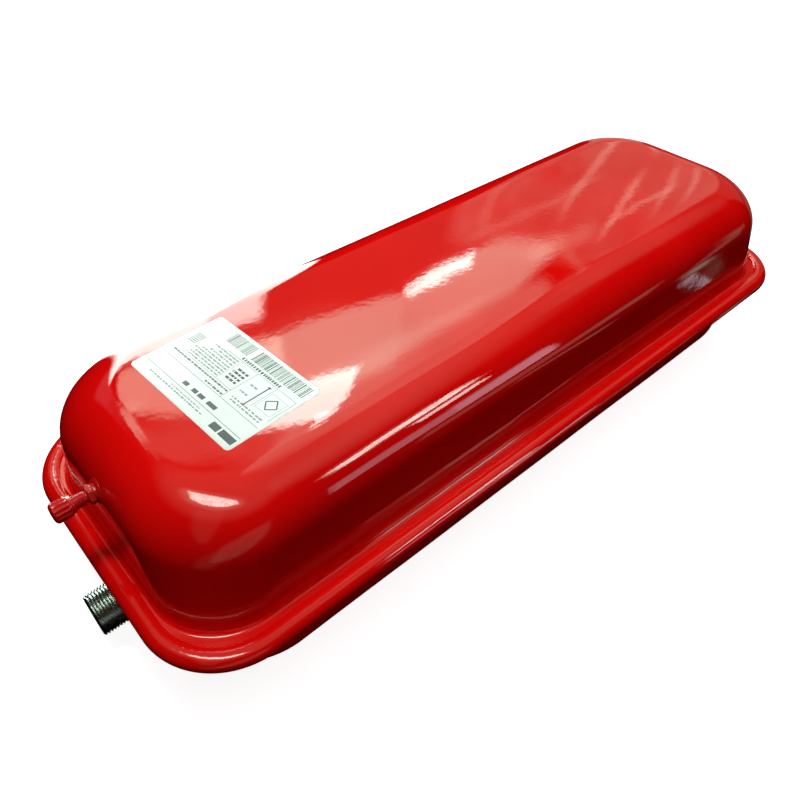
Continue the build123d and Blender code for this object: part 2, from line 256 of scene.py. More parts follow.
def enamel(name, peel=1.0, light=(0.80, 0.0034, 0.0024), deep=(0.71, 0.0022, 0.0018), coat_rough=0.03):
    """Glossy baked enamel with orange peel, slow changes of film thickness and fine specks."""
    m, nt, b, co = new_material(name)
    tone = noise(nt, co, 14, 4, 0.55)
    col = ramp(nt, tone, [(0.30, deep), (0.70, light)])
    nt.links.new(col, b.inputs["Base Color"])
    nt.links.new(level(nt, noise(nt, co, 60, 3), 0.28, 0.40), b.inputs["Roughness"])
    b.inputs["Specular IOR Level"].default_value = 0.0
    b.inputs["Coat Weight"].default_value = 1.0
    b.inputs["Coat Roughness"].default_value = coat_rough
    b.inputs["Coat IOR"].default_value = 1.5
    n1 = bumps(nt, [(noise(nt, co, 26, 1), 0.08 * peel, 0.001),
                    (noise(nt, co, 260, 1.5), 0.024 * peel, 0.0006),
                    (noise(nt, co, 1500, 1), 0.016 * peel, 0.0001)])
    nt.links.new(n1, b.inputs["Normal"])
    nt.links.new(n1, b.inputs["Coat Normal"])
    return m


def metal(name, dark, bright, r0, r1, scale=90, stretch=None, grain=900, bump=0.25):
    m, nt, b, co = new_material(name)
    b.inputs["Metallic"].default_value = 1.0
    nt.links.new(ramp(nt, noise(nt, co, scale, 4, 0.6), [(0.3, dark), (0.7, bright)]), b.inputs["Base Color"])
    fine = noise(nt, co, grain, 3, 0.6, stretch)
    nt.links.new(level(nt, fine, r0, r1), b.inputs["Roughness"])
    nt.links.new(bumps(nt, [(fine, bump, 0.00008)]), b.inputs["Normal"])
    return m


def rubber(name, dark, bright, scale=400):
    m, nt, b, co = new_material(name)
    nt.links.new(ramp(nt, noise(nt, co, 45, 4), [(0.3, dark), (0.7, bright)]), b.inputs["Base Color"])
    nt.links.new(level(nt, noise(nt, co, 130, 3), 0.50, 0.72), b.inputs["Roughness"])
    b.inputs["Specular IOR Level"].default_value = 0.35
    nt.links.new(bumps(nt, [(noise(nt, co, scale, 3), 0.35, 0.0002)]), b.inputs["Normal"])
    return m


RED = enamel("red_enamel")
VALVE_RED = enamel("valve_enamel", peel=1.6, light=(0.60, 0.004, 0.005), deep=(0.44, 0.002, 0.003), coat_rough=0.24)
CAP_RED = enamel("cap_enamel", peel=1.4, light=(0.62, 0.004, 0.005), deep=(0.46, 0.002, 0.003), coat_rough=0.16)
WELD = enamel("weld_enamel", peel=2.0, light=(0.62, 0.004, 0.004), deep=(0.44, 0.002, 0.003), coat_rough=0.24)
ZINC = metal("zinc_plate", (0.42, 0.46, 0.47), (0.62, 0.67, 0.58), 0.20, 0.30, 60, (1, 1, 1), 2600, 0.12)
BRASS = metal("turned_brass", (0.62, 0.42, 0.17), (0.82, 0.62, 0.30), 0.18, 0.32, 300, (12, 1, 1), 900, 0.35)
STEEL = metal("spring_wire", (0.46, 0.46, 0.47), (0.62, 0.62, 0.63), 0.20, 0.30, 400)
RUBBER = rubber("diaphragm_rubber", (0.012, 0.012, 0.013), (0.028, 0.028, 0.030))
SEAL = rubber("seal_rubber", (0.014, 0.014, 0.014), (0.035, 0.035, 0.035), 1200)
OVERSPRAYED = enamel("oversprayed_seal", peel=2.4, light=(0.42, 0.004, 0.004), deep=(0.22, 0.003, 0.003), coat_rough=0.3)
CORE_SEAL = rubber("core_sealing_ring", (0.45, 0.05, 0.03), (0.62, 0.09, 0.05), 1500)


def paper():
    m, nt, b, co = new_material("label_film")
    nt.links.new(ramp(nt, noise(nt, co, 70, 5, 0.6), [(0.3, (0.74, 0.83, 0.76)), (0.7, (0.80, 0.88, 0.82))]),
                 b.inputs["Base Color"])
    nt.links.new(level(nt, noise(nt, co, 260, 3), 0.30, 0.42), b.inputs["Roughness"])
    b.inputs["Coat Weight"].default_value = 0.5
    b.inputs["Coat Roughness"].default_value = 0.18
    n1 = bumps(nt, [(noise(nt, co, 55, 2), 0.18, 0.0012), (noise(nt, co, 900, 2), 0.10, 0.00006)])
    nt.links.new(n1, b.inputs["Normal"])
    nt.links.new(n1, b.inputs["Coat Normal"])
    return m


def print_ink(name, dark, pale):
    m, nt, b, co = new_material(name)
    nt.links.new(ramp(nt, noise(nt, co, 1600, 3), [(0.35, dark), (0.75, pale)]), b.inputs["Base Color"])
    b.inputs["Roughness"].default_value = 0.45
    return m


PAPER = paper()
INK = print_ink("label_ink", (0.012, 0.016, 0.016), (0.05, 0.06, 0.06))
INK_GREY = print_ink("label_ink_grey", (0.16, 0.20, 0.19), (0.34, 0.40, 0.38))


# ================================================================ gas shell
def gas_base(z):
    """The wall's outline at the rim's mid plane, with the corner radius that the wall has at height z."""
    t = (np.asarray(z, float) - RIM_Z) / (TOP_Z - RIM_Z)
    return (*GAS, GAS_R_FOOT + (GAS_R_TOP + (TOP_Z - RIM_Z) * TN - GAS_R_FOOT) * t)


top_wave = waves(11, 9, 190, 80)
wall_wave = waves(23, 10, 170, 60)


def top_fall(x, y):
    """How far the pressed top lies under the CAD's flat top, in mm."""
    c = 1 - (1 - np.clip(np.abs(x) / 246, 0, 1) ** 7) * (1 - np.clip(np.abs(y) / 70, 0, 1) ** 5)
    return 0.14 + 0.55 * c - 0.05 * top_wave(x, y, 0 * x)


def top_z(x, y):
    return TOP_Z - top_fall(np.asarray(x, float), np.asarray(y, float))


def gas_points(L, x, y, z):
    """Applies the pressed surface's slow waves and its slightly domed top."""
    s = smooth(104, 139, z)
    z2 = z - s * top_fall(x, y)
    amp = 0.16 * smooth(72, 84, z) * (1 - smooth(118, 139, z))
    w = amp * wall_wave(x, y, z)
    return x - w * L.t[:, 2], y - w * L.t[:, 3], z2


def dome_rings(L, base, d_edge, z_of, count, inward):
    """Rings from the edge ring at d_edge to the middle line, or back."""
    a, b, r = base
    xe, ye = L.at(base, d_edge)
    ae, be = a - d_edge, b - d_edge
    xm_half = ae - be
    span = a - r
    xm = np.where(np.abs(L.t[:, 0]) >= 1, np.sign(L.t[:, 0]), L.t[:, 0]) * xm_half
    ts = np.linspace(0, 1, count + 1)[1:]
    rings = []
    for t in ts:
        rings.append((xe * (1 - t) + xm * t, ye * (1 - t), z_of))
    if not inward:
        rings = rings[::-1]
    return rings


def gas_shell():
    L = Loop(nc=44, nl=104, ns=20)
    n1 = L.n
    one = np.ones(n1)
    r_f = 2.6 + 0.5 * L.corner
    zc = FLANGE_TOP + r_f
    dc = ((zc - RIM_Z) * SN - r_f) / CS
    rings = []
    # outer top, from the middle line out
    for x, y, z in dome_rings(L, gas_base(TOP_Z), GAS_DC, TOP_Z, 22, False):
        rings.append((x, y, one * TOP_Z))
    for f in np.linspace(90, 3.7, 34):
        a = math.radians(f)
        z = GAS_ZC + GAS_SH * math.sin(a)
        x, y = L.at(gas_base(z), GAS_DC - GAS_SH * math.cos(a))
        rings.append((x, y, one * z))
    z_top = GAS_ZC + GAS_SH * SN
    z_low = zc - r_f * SN
    for t in np.linspace(0, 1, 18)[1:-1]:
        z = z_top + (z_low - z_top) * t
        x, y = L.at(gas_base(z), (z - RIM_Z) * TN)
        rings.append((x, y, z))
    for t in np.linspace(0, 1, 12):
        be = -(DELTA + (math.pi / 2 - DELTA) * t)
        z = zc + r_f * math.sin(be)
        x, y = L.at(gas_base(z), dc + r_f * math.cos(be))
        rings.append((x, y, z))
    fx, fy = L.at(gas_base(FLANGE_TOP), dc)
    ex, ey = L.at(RIM, -3.3)
    ix, iy = L.at(RIM, -2.9)
    for t in (0.2, 0.4, 0.6, 0.8, 0.93):
        rings.append((fx + (ex - fx) * t, fy + (ey - fy) * t, one * FLANGE_TOP))
    rings.append((ix, iy, one * FLANGE_TOP))
    rings.append((ex, ey, one * (FLANGE_TOP - 0.3)))
    rings.append((ex, ey, one * (FLANGE_TOP - 0.9)))
    rings.append((ix, iy, one * (FLANGE_TOP - SHEET)))
    for t in (0.75, 0.5, 0.25):
        rings.append((fx + (ex - fx) * t, fy + (ey - fy) * t, one * (FLANGE_TOP - SHEET)))
    r_i = r_f + SHEET
    for t in np.linspace(1, 0, 8):
        be = -(DELTA + (math.pi / 2 - DELTA) * t)
        z = zc + r_i * math.sin(be)
        x, y = L.at(gas_base(z), dc + r_i * math.cos(be))
        rings.append((x, y, z))
    for t in np.linspace(0, 1, 8)[1:-1]:
        z = (z_low - SHEET * SN) + (z_top - SHEET * SN - z_low + SHEET * SN) * t
        x, y = L.at(gas_base(z), (z - RIM_Z) * TN + SHEET / CS)
        rings.append((x, y, z))
    for f in np.linspace(3.7, 90, 16):
        a = math.radians(f)
        z = GAS_ZC + (GAS_SH - SHEET) * math.sin(a)
        x, y = L.at(gas_base(z), GAS_DC - (GAS_SH - SHEET) * math.cos(a))
        rings.append((x, y, one * z))
    for x, y, z in dome_rings(L, gas_base(TOP_Z), GAS_DC, TOP_Z, 8, True):
        rings.append((x, y, one * (TOP_Z - SHEET)))
    rings = [gas_points(L, x, y, z * one) for x, y, z in rings]
    v, f = grid(rings, False)
    ob = build("gas_shell_pressing", v, f, RED, "vessel")
    cut(ob, -300.0, -240.0, 5.38, VALVE_Z)
    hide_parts("gas_shell")
    return ob


# ================================================================ water shell with the rolled rim
def water_shell():
    L = Loop(nc=112, nl=120, ns=24)
    one = np.ones(L.n)
    r_f = 2.4 + 2.2 * L.corner
    flange_low = RIM_Z - ROLL_R
    flange_top = RIM_Z - ROLL_IN
    zc = flange_low - r_f
    dc = ((RIM_Z - zc) * SN - r_f) / CS
    rings = []
    for x, y, z in dome_rings(L, WATER, WATER_DC, 0.0, 10, False):
        rings.append((x, y, one * 0.0))
    for f in np.linspace(90, 3.7, 20):
        a = math.radians(f)
        x, y = L.at(WATER, WATER_DC - WATER_SH * math.cos(a))
        rings.append((x, y, one * (WATER_ZC - WATER_SH * math.sin(a))))
    z_b = WATER_ZC - WATER_SH * SN
    z_t = zc + r_f * SN
    for t in np.linspace(0, 1, 14)[1:-1]:
        z = z_b + (z_t - z_b) * t
        x, y = L.at(WATER, (RIM_Z - z) * TN)
        rings.append((x, y, z))
    for t in np.linspace(0, 1, 8):
        be = DELTA + (math.pi / 2 - DELTA) * t
        x, y = L.at(WATER, dc + r_f * math.cos(be))
        rings.append((x, y, zc + r_f * math.sin(be)))
    fx, fy = L.at(WATER, dc)
    ex, ey = L.at(RIM, 0.0)
    for t in (0.3, 0.6, 0.85):
        rings.append((fx + (ex - fx) * t, fy + (ey - fy) * t, one * flange_low))
    # the roll, with a lip that wavers a little and fine pleats where the corners were drawn in
    wob = 1.2 * np.sin(5 * L.u + 0.6) + 0.9 * np.sin(11 * L.u + 2.1) + 0.7 * np.sin(23 * L.u + 4.0)
    end = 133.2 + 0.55 * wob
    arc = RIM[2] * np.radians(L.phi)
    in_corner = smooth(3, 20, L.phi) * (1 - smooth(70, 87, L.phi))
    lam = 4.4
    # each corner's pleats differ in phase
    quad = np.sign(L.t[:, 0]) * 1.3 + np.sign(L.t[:, 1]) * 2.1
    pleat = np.sin(2 * math.pi * arc / lam + quad) * (0.65 + 0.35 * np.sin(2 * math.pi * arc / 15.0 + 2 * quad))
    long_wave = 0.09 * np.sin(7 * L.u + 1.0) + 0.07 * np.sin(17 * L.u + 0.4)

    def roll_r(th_deg, base_r):
        k = smooth(55, 125, th_deg)
        return base_r + in_corner * pleat * 0.085 * k + (long_wave - 0.12) * smooth(20, 90, th_deg) * 0.6

    for t in np.linspace(0, 1, 40):
        th = -90 + (end - 1.2 + 90) * t
        r = roll_r(th, ROLL_R)
        n = r * np.cos(np.radians(th))
        x, y = L.at(RIM, -n)
        rings.append((x, y, RIM_Z + r * np.sin(np.radians(th))))
    for r0, dth in ((ROLL_R - 0.10, 0.5), (ROLL_R - 0.35, 1.3), (ROLL_R - 0.75, 1.4), (ROLL_IN + 0.15, 0.6)):
        th = end + dth - 0.6
        r = roll_r(th, r0)
        x, y = L.at(RIM, -r * np.cos(np.radians(th)))
        rings.append((x, y, np.maximum(RIM_Z + r * np.sin(np.radians(th)), FLANGE_TOP + 0.03)))
    for t in np.linspace(1, 0, 20):
        th = -90 + (end - 1.0 + 90) * t
        r = roll_r(th, ROLL_IN)
        x, y = L.at(RIM, -r * np.cos(np.radians(th)))
        z = RIM_Z + r * np.sin(np.radians(th))
        rings.append((x, y, z))
    for t in (0.85, 0.6, 0.3):
        rings.append((fx + (ex - fx) * t, fy + (ey - fy) * t, one * flange_top))
    r_i = r_f + SHEET
    for t in np.linspace(1, 0, 7):
        be = DELTA + (math.pi / 2 - DELTA) * t
        x, y = L.at(WATER, dc + r_i * math.cos(be))
        rings.append((x, y, zc + r_i * math.sin(be)))
    for t in np.linspace(0, 1, 7)[1:-1]:
        z = (z_t + SHEET * SN) + (z_b - z_t) * t
        x, y = L.at(WATER, (RIM_Z - z) * TN + SHEET / CS)
        rings.append((x, y, z))
    for f in np.linspace(3.7, 90, 12):
        a = math.radians(f)
        x, y = L.at(WATER, WATER_DC - (WATER_SH - SHEET) * math.cos(a))
        rings.append((x, y, one * (WATER_ZC - (WATER_SH - SHEET) * math.sin(a))))
    for x, y, z in dome_rings(L, WATER, WATER_DC, SHEET, 5, True):
        rings.append((x, y, one * SHEET))
    out = []
    for x, y, z in rings:
        z = z * one
        w = 0.12 * smooth(3, 14, z) * (1 - smooth(48, 57, z)) * wall_wave(x, y, z)
        out.append((x - w * L.t[:, 2], y - w * L.t[:, 3], z))
    v, f = grid(out, False)
    ob = build("water_shell_pressing", v, f, RED, "vessel")
    cut(ob, -300.0, -240.0, 12.03, NIPPLE_Z)
    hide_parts("water_shell")
    return ob


# ================================================================ diaphragm, one moulded piece
def diaphragm():
    L = Loop(nc=26, nl=60, ns=12)
    one = np.ones(L.n)
    rings = []

    def tub(off, sh, down, count):
        """Wall and shoulder of one skin of the tub."""
        dcc = WATER_DC
        out = []
        zb = WATER_ZC - sh * SN
        for z in np.linspace(56.3, zb, count):
            out.append(("w", (RIM_Z - z) * TN + off / CS, z))
        for f in np.linspace(3.7, 90, 10)[1:]:
            a = math.radians(f)
            out.append(("w", dcc - sh * math.cos(a), WATER_ZC - sh * math.sin(a)))
        return out if down else out[::-1]

    # inner (gas side) skin from the middle out
    for x, y, z in dome_rings(L, WATER, WATER_DC, 4.0, 8, False):
        rings.append((x, y, one * 4.0))
    prof = tub(4.0, WATER_SH - 4.0, False, 12)
    for _, d, z in prof:
        x, y = L.at(WATER, d)
        rings.append((x, y, one * z))
    # collar's top, outward
    d0 = (RIM_Z - 56.3) * TN + 4.0 / CS
    for t in (0.25, 0.5, 0.75, 1.0):
        a = math.pi / 2 * t
        x, y = L.at(WATER, d0 - 6.1 * (1 - math.cos(a)))
        rings.append((x, y, one * (56.3 + 6.1 * math.sin(a))))
    cx, cy = x, y
    bx, by = L.at(RIM, 6.0)
    rings.append(((cx + bx) / 2, (cy + by) / 2, one * 62.4))

    def bead(n_, z_):
        x, y = L.at(RIM, -n_)
        rings.append((x, y, one * z_))

    for n_, z_ in ((-6.0, 62.5), (-6.0, 64.35)):
        bead(n_, z_)
    for cxn, czz, a0 in ((-3.0, 64.35, 180), (0.4, 64.35, 90), (0.4, 62.9, 0), (-3.0, 62.9, -90)):
        if a0 == -90:
            break
        for k in range(1 if a0 == 180 else 0, 6):
            a = math.radians(a0 - 90 * k / 5)
            bead(cxn + 3.0 * math.cos(a), czz + 3.0 * math.sin(a))
    for k in range(1, 4):
        a = math.radians(-90 * k / 5)
        bead(0.4 + 3.0 * math.cos(a), 62.9 + 3.0 * math.sin(a))
    bead(0.0, 59.95)
    bead(-3.0, 59.93)
    bead(-6.0, 59.93)
    d1 = (RIM_Z - 56.3) * TN + 1.5 / CS
    ox, oy = L.at(WATER, d1 - 3.9)
    rings.append((ox, oy, one * 59.93))
    for t in (0.75, 0.5, 0.25):
        a = math.pi / 2 * t
        x, y = L.at(WATER, d1 - 3.9 * (1 - math.cos(a)))
        rings.append((x, y, one * (56.3 + 3.63 * math.sin(a))))
    for _, d, z in tub(1.5, WATER_SH - 1.5, True, 12):
        x, y = L.at(WATER, d)
        rings.append((x, y, one * z))
    for x, y, z in dome_rings(L, WATER, WATER_DC, 1.5, 8, True):
        rings.append((x, y, one * 1.5))
    v, f = grid(rings, False)
    ob = build("diaphragm_moulding", v, f, RUBBER, None)
    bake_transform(ob)
    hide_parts("diaphragm_bead", "diaphragm_skirt", "diaphragm_panel")
    return ob


# ================================================================ water nipple, G 3/4
def water_wall_x(z, off=0.0):
    """x of the water shell's outer face on the connection end, off mm inside it."""
    z = np.asarray(z, float)
    flat = (RIM_Z - z) * TN + off / CS
    arc = WATER_DC - np.sqrt(np.maximum((WATER_SH - off) ** 2 - (WATER_ZC - z) ** 2, 0.01))
    return -(WATER[0] - np.where(z > WATER_ZC - WATER_SH * SN, flat, arc))


def gas_wall_x(z, off=0.0):
    z = np.asarray(z, float)
    flat = (z - RIM_Z) * TN + off / CS
    arc = GAS_DC - np.sqrt(np.maximum((GAS_SH - off) ** 2 - (z - GAS_ZC) ** 2, 0.01))
    return -(GAS[0] - np.where(z < GAS_ZC + GAS_SH * SN, flat, arc))


def nipple():
    n = 144
    th = angles(n)
    x0, p = -292.0, 1.814
    rows = []
    inner = water_wall_x(NIPPLE_Z + 10.3 * np.sin(th), SHEET)
    rows.append((inner, 10.3))
    rows += [(-266.9, 10.3), (-267.4, 9.55), (-267.9, 9.5)]
    for x in np.linspace(-268.5, -290.9, 12):
        rows.append((x, 9.5))
    rows += [(-291.4, 9.52), (-291.85, 9.95), (x0, 10.2), (x0, 11.4), (x0, 11.80), (-291.93, 11.97)]
    # thread: right-handed, faded in over the chamfer and run out before the shank
    crest, root = 13.20, 12.08
    xs = np.arange(-291.8, -269.0, p / 16)
    for x in xs:
        u = x / p - th / (2 * math.pi)
        c = np.clip(1.12 * 2 / math.pi * np.arcsin(np.cos(2 * math.pi * u)), -1, 1)
        r = (crest + root) / 2 + (crest - root) / 2 * c
        cham = 12.02 + (x + 291.9) * 1.0
        r = np.minimum(r, cham)
        fade = smooth(-270.9, -269.3, x)
        r = r * (1 - fade) + 12.0 * fade
        rows.append((x, r))
    outer = water_wall_x(NIPPLE_Z + 12.0 * np.sin(th), SHEET)
    rows += [(-268.7, 12.0), (-267.2, 12.0), (outer + 0.0, 12.0)]
    v, f = polar(rows, NIPPLE_Z, n)
    ob = build("water_nipple_threaded", v, f, ZINC, "vessel", sharp=48)
    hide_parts("water_nipple")
    return ob


def weld_ring(name, wall_x, zc, r_in, r_out, height, ripples, seed, node, n=240):
    """A rippled bead laid round a spigot, following the wall's slope."""
    th = angles(n)
    rng = np.random.RandomState(seed)
    slow = sum(rng.uniform(-1, 1) * np.sin(k * th + rng.uniform(0, 6)) for k in (1, 2, 3, 5))
    toe = r_out + 0.14 * slow
    rows = []
    for t in np.linspace(0, 1, 13):
        rho = toe + (r_in - toe) * t
        rip = 0.055 * height * np.sin(ripples * th + 3.0 * t + 0.7 * slow) * math.sin(math.pi * min(t * 1.15, 1))
        h = height * (math.sin(math.pi / 2 * t) ** 0.85) * (1 + 0.05 * slow) + rip
        rows.append((wall_x(zc + rho * np.sin(th)) - h + (0.05 if t == 0 else 0), rho))
    rows.append((wall_x(zc + r_in * np.sin(th)) + 0.5, r_in + 0 * th))
    rows.append((wall_x(zc + toe * np.sin(th)) + 0.5, toe))
    v, f = polar(rows, zc, n)
    ob = build(name, v, f, WELD, "vessel")
    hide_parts(node)
    return ob


# ================================================================ gas valve
def bush():
    rows = [(-259.4, 4.2), (-259.55, 4.05), (-265.5, 4.05), (-265.7, 4.2), (-265.7, 5.05), (-265.6, 5.3),
            (-265.3, 5.4), (-262.0, 5.4), (-259.6, 5.4), (-259.4, 5.25)]
    v, f = polar(rows, VALVE_Z, 72)
    ob = build("valve_bush_ring", v, f, VALVE_RED, "vessel", sharp=40)
    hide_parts("valve_bush")
    return ob


def valve_body():
    n = 144
    th = angles(n)
    p = 0.794
    hexr = 5.0 / np.cos((th % (math.pi / 3)) - math.pi / 6)
    hexr = np.minimum(hexr, 5.60)
    rows = [(-257.0, 1.5), (-267.4, 1.5), (-268.0, 2.33), (-277.9, 2.33), (-278.6, 2.65), (-283.9, 2.65),
            (-284.15, 2.85), (-284.2, 2.95), (-284.2, 3.2), (-284.12, 3.38)]
    for x in np.arange(-284.0, -270.0, p / 12):
        u = x / p - th / (2 * math.pi)
        c = np.clip(1.3 * np.cos(2 * math.pi * u), -1, 1)
        # enamel has run into the thread where the cap doesn't cover it
        soft = 0.62 + 0.38 * smooth(-276.4, -277.6, x) if x > -277.6 else 1.0
        soft = float(1.0 - 0.38 * smooth(-277.6, -275.8, x))
        r = 3.62 + 0.205 * c * soft + 0.05 * (1 - soft)
        r = np.minimum(r, 3.40 + (x + 284.12) * 1.0)
        r = r * (1 - smooth(-270.9, -270.1, x)) + 3.36 * smooth(-270.9, -270.1, x)
        rows.append((x, r))
    rows += [(-269.7, 3.36), (-269.25, 3.42), (-269.02, 3.75), (-269.0, 4.3), (-268.98, np.minimum(hexr, 4.80)),
             (-268.86, np.minimum(hexr, 5.02)), (-268.60, np.minimum(hexr, 5.30)),
             (-268.34, np.minimum(hexr, 5.50)), (-268.1, hexr), (-267.5, hexr), (-266.9, hexr),
             (-266.45, hexr), (-266.25, hexr * 0.985), (-266.2, hexr * 0.96), (-266.2, 4.0), (-264.0, 4.0),
             (-257.0, 4.0)]
    v, f = polar(rows, VALVE_Z, n)
    ob = build("valve_body_turned", v, f, VALVE_RED, "vessel", sharp=42)
    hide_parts("valve_body")
    return ob


def cap():
    n = 14 * 16
    th = angles(n)
    g = (0.5 - 0.5 * np.cos(14 * th + math.pi)) ** 1.6
    R = 5.64

    def rib(k):
        """Radius with the grooves cut to a share of their depth."""
        return R - 0.44 * k * (1 - g) * 1.0

    rows = [(-276.0, 4.22), (-276.3, 3.97), (-276.8, 3.95), (-281.0, 3.95), (-284.9, 3.95), (-285.28, 3.85),
            (-285.3, 3.5), (-285.3, 1.5), (-285.3, 0.0)]
    rows2 = [(-287.0, 0.0), (-287.0, 1.6), (-286.98, 2.9), (-286.88, 3.75), (-286.66, 4.40), (-286.35, 4.88)]
    for x, r in rows2:
        rows.append((x, r))
    rows += [(-286.0, np.minimum(rib(0.35), 5.22)), (-285.62, np.minimum(rib(0.75), 5.45)),
             (-285.2, rib(1.0)), (-284.0, rib(1.0)), (-282.6, rib(1.0)), (-281.2, rib(1.0)), (-279.9, rib(1.0)),
             (-279.0, rib(1.0)), (-278.62, rib(0.9) - 0.05), (-278.34, rib(0.6) - 0.22), (-278.1, 5.05), (-277.92, 4.80),
             (-277.7, 4.70), (-277.2, 4.70), (-276.6, 4.66), (-276.2, 4.58), (-276.03, 4.44)]
    v, f = polar(rows, VALVE_Z, n)
    ob = build("valve_cap_ribbed", v, f, CAP_RED, "cap", sharp=55)
    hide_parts("valve_cap")
    return ob


def spring():
    """The valve core's return spring, one fixed coil whose outer end sits at the pin's collar."""
    wire, coil, turns, x0, x1 = 0.11, 0.9, 7.0, -278.66, -273.14
    th = angles(12)
    rings = []
    for t in np.linspace(0, 1, int(turns * 32) + 1):
        a = 2 * math.pi * turns * t
        c = np.array([x0 + (x1 - x0) * t, coil * math.cos(a), VALVE_Z + coil * math.sin(a)])
        n_ = np.array([0.0, math.cos(a), math.sin(a)])
        d = np.array([(x1 - x0) / (2 * math.pi * turns), -coil * math.sin(a), coil * math.cos(a)])
        b_ = np.cross(d / np.linalg.norm(d), n_)
        rings.append(tuple(c[k] + wire * (np.cos(th) * n_[k] + np.sin(th) * b_[k]) for k in range(3)))
    v, f = grid(rings, False)
    last = len(v) - 12
    faces = [tuple(q) for q in f] + [tuple(range(11, -1, -1)), tuple(range(last, last + 12))]
    ob = build("core_spring_coil", v, faces, STEEL, None, sharp=60)
    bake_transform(ob)
    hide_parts("core_spring")
    return ob


# ================================================================ label, with generic printing
def label_xy(u, v):
    """Label's own mm, from its left and near edges, to the row frame."""
    du, dv = np.asarray(u, float) - LABEL_L / 2, np.asarray(v, float) - LABEL_W / 2
    c, s = math.cos(LABEL_TURN), math.sin(LABEL_TURN)
    return LABEL_X + c * du - s * dv, LABEL_Y + s * du + c * dv


def label():
    L = Loop(nc=10, nl=24, ns=36)
    base = (LABEL_L / 2, LABEL_W / 2, 2.6)
    one = np.ones(L.n)
    rings = []

    def ring(off, h):
        x, y = L.at(base, off)
        X, Y = label_xy(x + LABEL_L / 2, y + LABEL_W / 2)
        rings.append((X, Y, top_z(X, Y) + h))

    def inner(t, h):
        x, y = L.at(base, 0.15)
        X, Y = label_xy(x * (1 - t) + LABEL_L / 2, y * (1 - t) + LABEL_W / 2)
        rings.append((X, Y, top_z(X, Y) + h))

    steps = (1.0, 0.9, 0.8, 0.7, 0.6, 0.5, 0.4, 0.3, 0.2, 0.1, 0.04)
    for t in steps:
        inner(t, 0.085)
    ring(0.12, 0.085)
    ring(0.03, 0.065)
    ring(0.0, 0.03)
    ring(0.0, -0.03)
    ring(0.15, -0.05)
    for t in steps[::-1]:
        inner(t, -0.05)
    v, f = grid(rings, False)
    ob = build("rating_label_film", v, f, PAPER, "vessel")
    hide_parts("rating_label")
    return ob


class Print:
    """Raised ink blocks that follow the label."""

    def __init__(self):
        self.v, self.f = [], []

    def block(self, u0, u1, v0, v1, h=0.022):
        nu = max(1, int(math.ceil((u1 - u0) / 4)))
        nv = max(1, int(math.ceil((v1 - v0) / 4)))
        us, vs = np.linspace(u0, u1, nu + 1), np.linspace(v0, v1, nv + 1)
        start = len(self.v)
        for lift in (0.085 + h, 0.075):
            for u in us:
                for w in vs:
                    x, y = label_xy(u, w)
                    self.v.append((float(x), float(y), float(top_z(x, y)) + lift))
        m = (nu + 1) * (nv + 1)
        idx = lambda i, j, k: start + k * m + i * (nv + 1) + j
        for i in range(nu):
            for j in range(nv):
                self.f.append((idx(i, j, 0), idx(i + 1, j, 0), idx(i + 1, j + 1, 0), idx(i, j + 1, 0)))
                self.f.append((idx(i, j, 1), idx(i, j + 1, 1), idx(i + 1, j + 1, 1), idx(i + 1, j, 1)))
        for i in range(nu):
            for j in (0, nv):
                q = (idx(i, j, 0), idx(i + 1, j, 0), idx(i + 1, j, 1), idx(i, j, 1))
                self.f.append(q)
        for j in range(nv):
            for i in (0, nu):
                q = (idx(i, j, 0), idx(i, j + 1, 0), idx(i, j + 1, 1), idx(i, j, 1))
                self.f.append(q)

    def slant(self, u0, v0, u1, v1, w, h=0.022):
        """A straight stroke between two points."""
        d = math.hypot(u1 - u0, v1 - v0)
        nx, ny = -(v1 - v0) / d * w / 2, (u1 - u0) / d * w / 2
        k = max(1, int(d / 4))
        start = len(self.v)
        for lift in (0.085 + h, 0.075):
            for i in range(k + 1):
                t = i / k
                for s in (-1, 1):
                    x, y = label_xy(u0 + (u1 - u0) * t + s * nx, v0 + (v1 - v0) * t + s * ny)
                    self.v.append((float(x), float(y), float(top_z(x, y)) + lift))
        m = 2 * (k + 1)
        for i in range(k):
            a = start + 2 * i
            self.f += [(a, a + 1, a + 3, a + 2), (a + m, a + m + 2, a + m + 3, a + m + 1),
                       (a, a + 2, a + m + 2, a + m), (a + 1, a + m + 1, a + m + 3, a + 3)]
        for a in (start, start + 2 * k):
            self.f.append((a, a + m, a + m + 1, a + 1))

    def words(self, rng, u, v0, v1, height, low=1.2, high=5.0, gap=0.9):
        """A row of small bars of uneven length, standing for print too small to read."""
        v = v0
        while v < v1 - 0.6:
            w = min(rng.uniform(low, high), v1 - v)
            self.block(u, u + height, v, v + w)
            v += w + rng.uniform(gap * 0.6, gap * 1.3)


